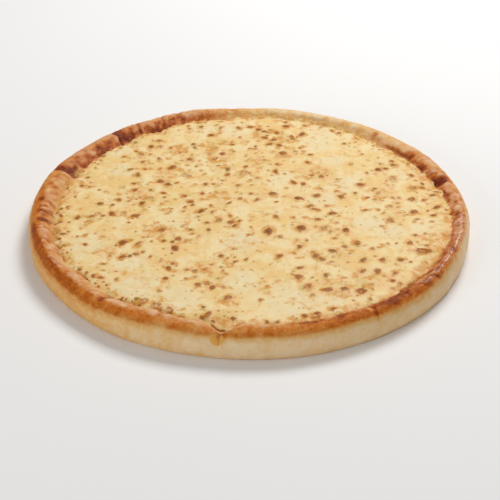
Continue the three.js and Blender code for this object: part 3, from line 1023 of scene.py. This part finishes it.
class PIZZA_OT_drip(bpy.types.Operator):
    """Lets golden fat run out through the fold at the front and down the wall."""

    bl_idname = "pizza.drip"
    bl_label = "Golden drip"

    AZIMUTH = 262.5
    HALF_WIDTH = 1.75
    THICKNESS = 0.45
    SINK = 0.35
    START_INSET = 2.0
    CREST_SHARE = 0.25
    END_TURN = 8

    def surface_place(self, form, along):
        """Radius and height from the notch, at -1, over the crest and down the wall, at 1."""
        share = (along + 1) / 2
        if share < self.CREST_SHARE:
            radius = form.crest_radius - self.START_INSET * (1 - share / self.CREST_SHARE)
            return radius, form.slope_height(radius)
        down = (share - self.CREST_SHARE) / (1 - self.CREST_SHARE)
        return form.shoulder_point(90 - (90 - self.END_TURN) * down)

    def execute(self, context):
        crust = bpy.data.objects["baked_crust"]
        form = PizzaForm(context.scene.pizza_sizes)
        tree = BVHTree.FromObject(crust, context.evaluated_depsgraph_get())
        bm = bmesh.new()
        run = bm.verts.layers.float.new("run")
        bmesh.ops.create_uvsphere(bm, u_segments=40, v_segments=32, radius=1.0)
        for vert in bm.verts:
            across, lift, along = vert.co
            vert[run] = (along + 1) / 2 - 0.4 * math.exp(-(((across - 0.3) / 0.3) ** 2))
            widening = 0.85 + 0.2 * along + 0.45 * ripple((across, along, 0), 0.45, 32)
            azimuth = self.AZIMUTH + across * self.HALF_WIDTH * widening
            radius, height = self.surface_place(form, along)
            place = form.at(math.radians(azimuth), radius, height) * MM
            nearest, normal, _, _ = tree.find_nearest(place)
            rise = lift * (self.THICKNESS if lift > 0 else self.SINK)
            vert.co = nearest / MM + normal * rise
        finish_piece(bm, "golden_drip", fried_cheese_fat(context.scene.pizza_crust))
        return {"FINISHED"}


class PIZZA_OT_stage(bpy.types.Operator):
    """Sets the floor, the soft light and the camera at the photograph's viewing angle."""

    bl_idname = "pizza.stage"
    bl_label = "Stage"

    FLOOR_RADIUS = 3.0
    SKY_COLOUR = (1.0, 0.985, 0.965, 1.0)
    CAMERA_DISTANCE = 739.5
    CAMERA_ELEVATION = 33.8
    CAMERA_ROLL = -0.6
    CAMERA_AIM = (0.6, -32.25, 0)
    CAMERA_LENS = 79.2
    CAMERA_SENSOR = 36.0
    KEY_PLACE = (0.45, 0.8, 1.2)
    KEY_SIZE = (0.7, 0.5)
    KEY_COLOUR = (1.0, 0.97, 0.92)
    FILL_PLACE = (-1.0, -1.1, 0.6)
    FILL_SIZE = (0.8, 0.6)
    FILL_COLOUR = (1.0, 0.96, 0.9)

    def add_floor(self, look):
        bm = bmesh.new()
        bmesh.ops.create_circle(bm, cap_ends=True, segments=96, radius=self.FLOOR_RADIUS)
        floor = add_mesh(bm, "floor", matt_floor(look))

    def add_soft_light(self, name, power, place, size, colour):
        """Adds a large soft light that points at the middle of the pizza."""
        lamp = bpy.data.lights.new(name, "AREA")
        lamp.shape = "RECTANGLE"
        lamp.size, lamp.size_y = size
        lamp.energy = power
        lamp.color = colour
        turned = (-Vector(place)).to_track_quat("-Z", "Y").to_matrix().to_4x4()
        add_object(name, lamp, Matrix.Translation(place) @ turned)

    def add_sky(self, look):
        world = bpy.data.worlds.new("even_surroundings")
        world.use_nodes = True
        background = world.node_tree.nodes["Background"]
        background.inputs["Color"].default_value = self.SKY_COLOUR
        background.inputs["Strength"].default_value = look.sky_strength
        bpy.context.scene.world = world

    def add_camera(self):
        tilt = math.radians(self.CAMERA_ELEVATION)
        forward = Vector((0, math.cos(tilt), -math.sin(tilt)))
        right = Matrix.Rotation(math.radians(-self.CAMERA_ROLL), 3, forward) @ Vector((1, 0, 0))
        up = right.cross(forward)
        lens = bpy.data.cameras.new("camera")
        lens.lens = self.CAMERA_LENS
        lens.sensor_width = self.CAMERA_SENSOR
        turned = Matrix((right, up, -forward)).transposed().to_4x4()
        place = (Vector(self.CAMERA_AIM) - forward * self.CAMERA_DISTANCE) * MM
        bpy.context.scene.camera = add_object("camera", lens, Matrix.Translation(place) @ turned)

    def execute(self, context):
        look = context.scene.pizza_stage
        self.add_floor(look)
        self.add_soft_light("key", look.key_power, self.KEY_PLACE, self.KEY_SIZE, self.KEY_COLOUR)
        self.add_soft_light("fill", look.fill_power, self.FILL_PLACE, self.FILL_SIZE, self.FILL_COLOUR)
        self.add_sky(look)
        self.add_camera()
        context.scene.view_settings.view_transform = "Standard"
        return {"FINISHED"}


class PIZZA_PT_sidebar(bpy.types.Panel):
    """Lists the pieces and their settings."""

    bl_idname = "PIZZA_PT_sidebar"
    bl_label = "Cheese Pizza"
    bl_space_type = "VIEW_3D"
    bl_region_type = "UI"
    bl_category = "Pizza"

    def draw(self, context):
        for operator in OPERATORS:
            self.layout.operator(operator.bl_idname)
        for name in SETTINGS:
            box = self.layout.box()
            group = getattr(context.scene, name)
            for key in group.bl_rna.properties.keys():
                if key not in ("rna_type", "name"):
                    box.prop(group, key)


OPERATORS = (PIZZA_OT_stage, PIZZA_OT_crust, PIZZA_OT_cheese, PIZZA_OT_drip)
SETTINGS = {
    "pizza_sizes": PizzaSizes,
    "pizza_crust": CrustSettings,
    "pizza_cheese": CheeseSettings,
    "pizza_stage": StageSettings,
}


def register():
    for name, group in SETTINGS.items():
        bpy.utils.register_class(group)
        setattr(bpy.types.Scene, name, PointerProperty(type=group))
    for operator in OPERATORS:
        bpy.utils.register_class(operator)
    bpy.utils.register_class(PIZZA_PT_sidebar)


def unregister():
    bpy.utils.unregister_class(PIZZA_PT_sidebar)
    for operator in reversed(OPERATORS):
        bpy.utils.unregister_class(operator)
    for name, group in reversed(list(SETTINGS.items())):
        delattr(bpy.types.Scene, name)
        bpy.utils.unregister_class(group)


def main():
    register()
    bpy.ops.pizza.stage()
    bpy.ops.pizza.crust()
    bpy.ops.pizza.cheese()
    bpy.ops.pizza.drip()


if __name__ == "__main__":
    main()
